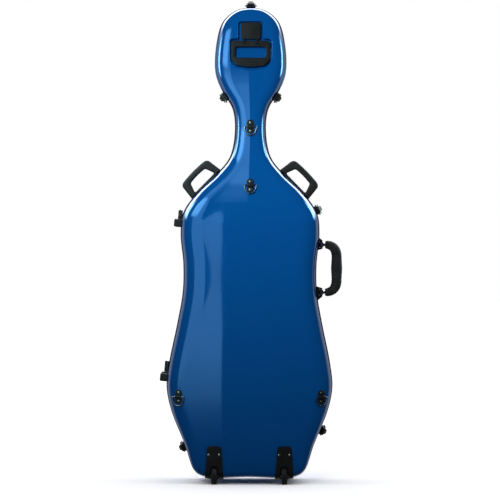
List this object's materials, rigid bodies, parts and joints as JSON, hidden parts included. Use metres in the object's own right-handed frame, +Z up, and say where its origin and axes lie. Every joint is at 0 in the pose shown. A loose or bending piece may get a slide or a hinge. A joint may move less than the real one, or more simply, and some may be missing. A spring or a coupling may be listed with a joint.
{
  "type": "cello hard case",
  "caption": "Upright hard case for a cello: two hinged moulded shells with lining, draw latches, folding and fixed handles, strap rings, corner wheels and feet.",
  "frame": {"origin": "middle of the bounding box's footprint, on the floor under the wheels and feet", "axes": "+Z up along the case's height, -Y out of the back half (the side with the strap rings and the wheels), +Y out of the lid, +X towards the carry handle, the hinge at -X"},
  "size_m": [0.5154, 0.327, 1.3673],
  "materials": {
    "shell_paint": "glossy metallic blue paint over a moulded fibreglass shell",
    "black_plastic": "satin black moulded nylon",
    "dark_rubber": "matte black rubber",
    "tyre_rubber": "matte black solid tyre",
    "grip_plastic": "soft-touch dark grey moulding",
    "chrome": "polished chrome",
    "steel_strap": "spring steel strap inside the grip",
    "velour": "foam covered with dark velour",
    "webbing": "black nylon fabric"
  },
  "bodies": {
    "back": {"back_shell": "shell_paint", "rim_gasket": "dark_rubber", "back_lining": "velour", "head_handle_mount": "black_plastic", "wheel_housing_left": "black_plastic", "wheel_housing_right": "black_plastic", "ring_plate_neck": "black_plastic", "ring_plate_upper": "black_plastic", "ring_plate_lower_left": "black_plastic", "ring_plate_lower_right": "black_plastic", "latch_base_head_top": "black_plastic", "latch_base_head_left": "black_plastic", "latch_base_head_right": "black_plastic", "latch_base_upper_right": "black_plastic", "latch_base_lower_right": "black_plastic", "latch_base_lower_left": "black_plastic", "hinge_leaf_back_lower": "black_plastic", "hinge_leaf_back_upper": "black_plastic", "side_foot_back_lower": "dark_rubber", "side_foot_back_upper": "dark_rubber", "shoulder_handle_left": "grip_plastic", "shoulder_handle_right": "grip_plastic", "carry_handle_bracket_lower": "black_plastic", "carry_handle_bracket_upper": "black_plastic", "neck_cradle": "velour", "end_pad": "velour", "shoulder_pad_left": "velour", "shoulder_pad_right": "velour"},
    "lid": {"lid_shell": "shell_paint", "lid_lining": "velour", "hinge_leaf_lid_lower": "black_plastic", "hinge_leaf_lid_upper": "black_plastic", "side_foot_lid_lower": "dark_rubber", "side_foot_lid_upper": "dark_rubber", "front_foot_left": "dark_rubber", "front_foot_right": "dark_rubber", "accessory_pouch": "webbing"},
    "head_handle": {"head_handle": "black_plastic"},
    "carry_handle": {"carry_handle_core": "steel_strap", "carry_handle_grip": "dark_rubber"},
    "wheel_left": {"wheel_left": "tyre_rubber"},
    "wheel_right": {"wheel_right": "tyre_rubber"},
    "bow_catch_left": {"bow_catch_left": "black_plastic"},
    "bow_catch_right": {"bow_catch_right": "black_plastic"},
    "strap_ring_neck": {"strap_ring_neck": "chrome"},
    "strap_ring_upper": {"strap_ring_upper": "chrome"},
    "strap_ring_lower_left": {"strap_ring_lower_left": "chrome"},
    "strap_ring_lower_right": {"strap_ring_lower_right": "chrome"},
    "latch_lever_head_top": {"latch_lever_head_top": "black_plastic"},
    "latch_bail_head_top": {"latch_bail_head_top": "chrome"},
    "latch_lever_head_left": {"latch_lever_head_left": "black_plastic"},
    "latch_bail_head_left": {"latch_bail_head_left": "chrome"},
    "latch_lever_head_right": {"latch_lever_head_right": "black_plastic"},
    "latch_bail_head_right": {"latch_bail_head_right": "chrome"},
    "latch_lever_upper_right": {"latch_lever_upper_right": "black_plastic"},
    "latch_bail_upper_right": {"latch_bail_upper_right": "chrome"},
    "latch_lever_lower_right": {"latch_lever_lower_right": "black_plastic"},
    "latch_bail_lower_right": {"latch_bail_lower_right": "chrome"},
    "latch_lever_lower_left": {"latch_lever_lower_left": "black_plastic"},
    "latch_bail_lower_left": {"latch_bail_lower_left": "chrome"}
  },
  "joints": [
    {"name": "lid_hinge", "type": "hinge", "parent": "back", "child": "lid", "pos_m": [-0.24217, -0.0218, 0.32106], "axis": [0.0864, 0, 0.9963], "range_deg": [0, 130]},
    {"name": "head_handle_fold", "type": "hinge", "parent": "back", "child": "head_handle", "pos_m": [-0.0036, -0.1028, 1.24696], "axis": [-1, 0, 0], "range_deg": [0, 95]},
    {"name": "carry_handle_swing", "type": "hinge", "parent": "back", "child": "carry_handle", "pos_m": [0.19801, -0.07175, 0.60845], "axis": [0, 0, 1], "range_deg": [-75, 75]},
    {"name": "wheel_left_roll", "type": "hinge", "parent": "back", "child": "wheel_left", "pos_m": [-0.10235, -0.13485, 0.0255], "axis": [1, 0, 0], "continuous": true},
    {"name": "wheel_right_roll", "type": "hinge", "parent": "back", "child": "wheel_right", "pos_m": [0.09515, -0.13485, 0.0255], "axis": [1, 0, 0], "continuous": true},
    {"name": "strap_ring_neck_swing", "type": "hinge", "parent": "back", "child": "strap_ring_neck", "pos_m": [-0.00349, -0.10749, 1.00855], "axis": [-0.9998, -0.0184, 0], "range_deg": [0, 160]},
    {"name": "strap_ring_upper_swing", "type": "hinge", "parent": "back", "child": "strap_ring_upper", "pos_m": [-0.0035, -0.14297, 0.84269], "axis": [-0.9998, -0.0184, 0], "range_deg": [0, 160]},
    {"name": "strap_ring_lower_left_swing", "type": "hinge", "parent": "back", "child": "strap_ring_lower_left", "pos_m": [-0.204, -0.15691, 0.24682], "axis": [-0.9657, 0.2598, 0], "range_deg": [0, 160]},
    {"name": "strap_ring_lower_right_swing", "type": "hinge", "parent": "back", "child": "strap_ring_lower_right", "pos_m": [0.19893, -0.15634, 0.24681], "axis": [-0.9657, -0.2595, 0], "range_deg": [0, 160]},
    {"name": "latch_lever_head_top_turn", "type": "hinge", "parent": "back", "child": "latch_lever_head_top", "pos_m": [-0.0036, -0.0348, 1.358], "axis": [-1, 0, 0], "range_deg": [0, 120]},
    {"name": "latch_bail_head_top_turn", "type": "hinge", "parent": "latch_lever_head_top", "child": "latch_bail_head_top", "pos_m": [-0.0036, -0.0428, 1.3565], "axis": [-1, 0, 0], "range_deg": [-120, 0]},
    {"name": "latch_lever_head_left_turn", "type": "hinge", "parent": "back", "child": "latch_lever_head_left", "pos_m": [-0.08169, -0.0348, 1.09156], "axis": [0.563, 0, -0.8265], "range_deg": [0, 120]},
    {"name": "latch_bail_head_left_turn", "type": "hinge", "parent": "latch_lever_head_left", "child": "latch_bail_head_left", "pos_m": [-0.08045, -0.0428, 1.0924], "axis": [0.563, 0, -0.8265], "range_deg": [-120, 0]},
    {"name": "latch_lever_head_right_turn", "type": "hinge", "parent": "back", "child": "latch_lever_head_right", "pos_m": [0.07449, -0.0348, 1.09156], "axis": [0.563, 0, 0.8265], "range_deg": [0, 120]},
    {"name": "latch_bail_head_right_turn", "type": "hinge", "parent": "latch_lever_head_right", "child": "latch_bail_head_right", "pos_m": [0.07325, -0.0428, 1.0924], "axis": [0.563, 0, 0.8265], "range_deg": [-120, 0]},
    {"name": "latch_lever_upper_right_turn", "type": "hinge", "parent": "back", "child": "latch_lever_upper_right", "pos_m": [0.19119, -0.0348, 0.77646], "axis": [-0.4389, 0, 0.8986], "range_deg": [0, 120]},
    {"name": "latch_bail_upper_right_turn", "type": "hinge", "parent": "latch_lever_upper_right", "child": "latch_bail_upper_right", "pos_m": [0.18984, -0.0428, 0.7758], "axis": [-0.4389, 0, 0.8986], "range_deg": [-120, 0]},
    {"name": "latch_lever_lower_right_turn", "type": "hinge", "parent": "back", "child": "latch_lever_lower_right", "pos_m": [0.20676, -0.0348, 0.14689], "axis": [0.3931, 0, 0.9195], "range_deg": [0, 120]},
    {"name": "latch_bail_lower_right_turn", "type": "hinge", "parent": "latch_lever_lower_right", "child": "latch_bail_lower_right", "pos_m": [0.20538, -0.0428, 0.14748], "axis": [0.3931, 0, 0.9195], "range_deg": [-120, 0]},
    {"name": "latch_lever_lower_left_turn", "type": "hinge", "parent": "back", "child": "latch_lever_lower_left", "pos_m": [-0.19425, -0.0348, 0.09937], "axis": [0.3348, 0, -0.9423], "range_deg": [0, 120]},
    {"name": "latch_bail_lower_left_turn", "type": "hinge", "parent": "latch_lever_lower_left", "child": "latch_bail_lower_left", "pos_m": [-0.19284, -0.0428, 0.09987], "axis": [0.3348, 0, -0.9423], "range_deg": [-120, 0]},
    {"name": "bow_catch_left_turn", "type": "hinge", "parent": "lid", "child": "bow_catch_left", "pos_m": [-0.12185, 0.1039, 0.32999], "axis": [0, 1, 0], "range_deg": [-90, 90]},
    {"name": "bow_catch_right_turn", "type": "hinge", "parent": "lid", "child": "bow_catch_right", "pos_m": [0.11465, 0.1039, 0.32999], "axis": [0, 1, 0], "range_deg": [-90, 90]}
  ],
  "couplings": [
    {"joint": "latch_bail_head_top_turn", "follows": "latch_lever_head_top_turn", "ratio": -1},
    {"joint": "latch_bail_head_left_turn", "follows": "latch_lever_head_left_turn", "ratio": -1},
    {"joint": "latch_bail_head_right_turn", "follows": "latch_lever_head_right_turn", "ratio": -1},
    {"joint": "latch_bail_upper_right_turn", "follows": "latch_lever_upper_right_turn", "ratio": -1},
    {"joint": "latch_bail_lower_right_turn", "follows": "latch_lever_lower_right_turn", "ratio": -1},
    {"joint": "latch_bail_lower_left_turn", "follows": "latch_lever_lower_left_turn", "ratio": -1}
  ]
}
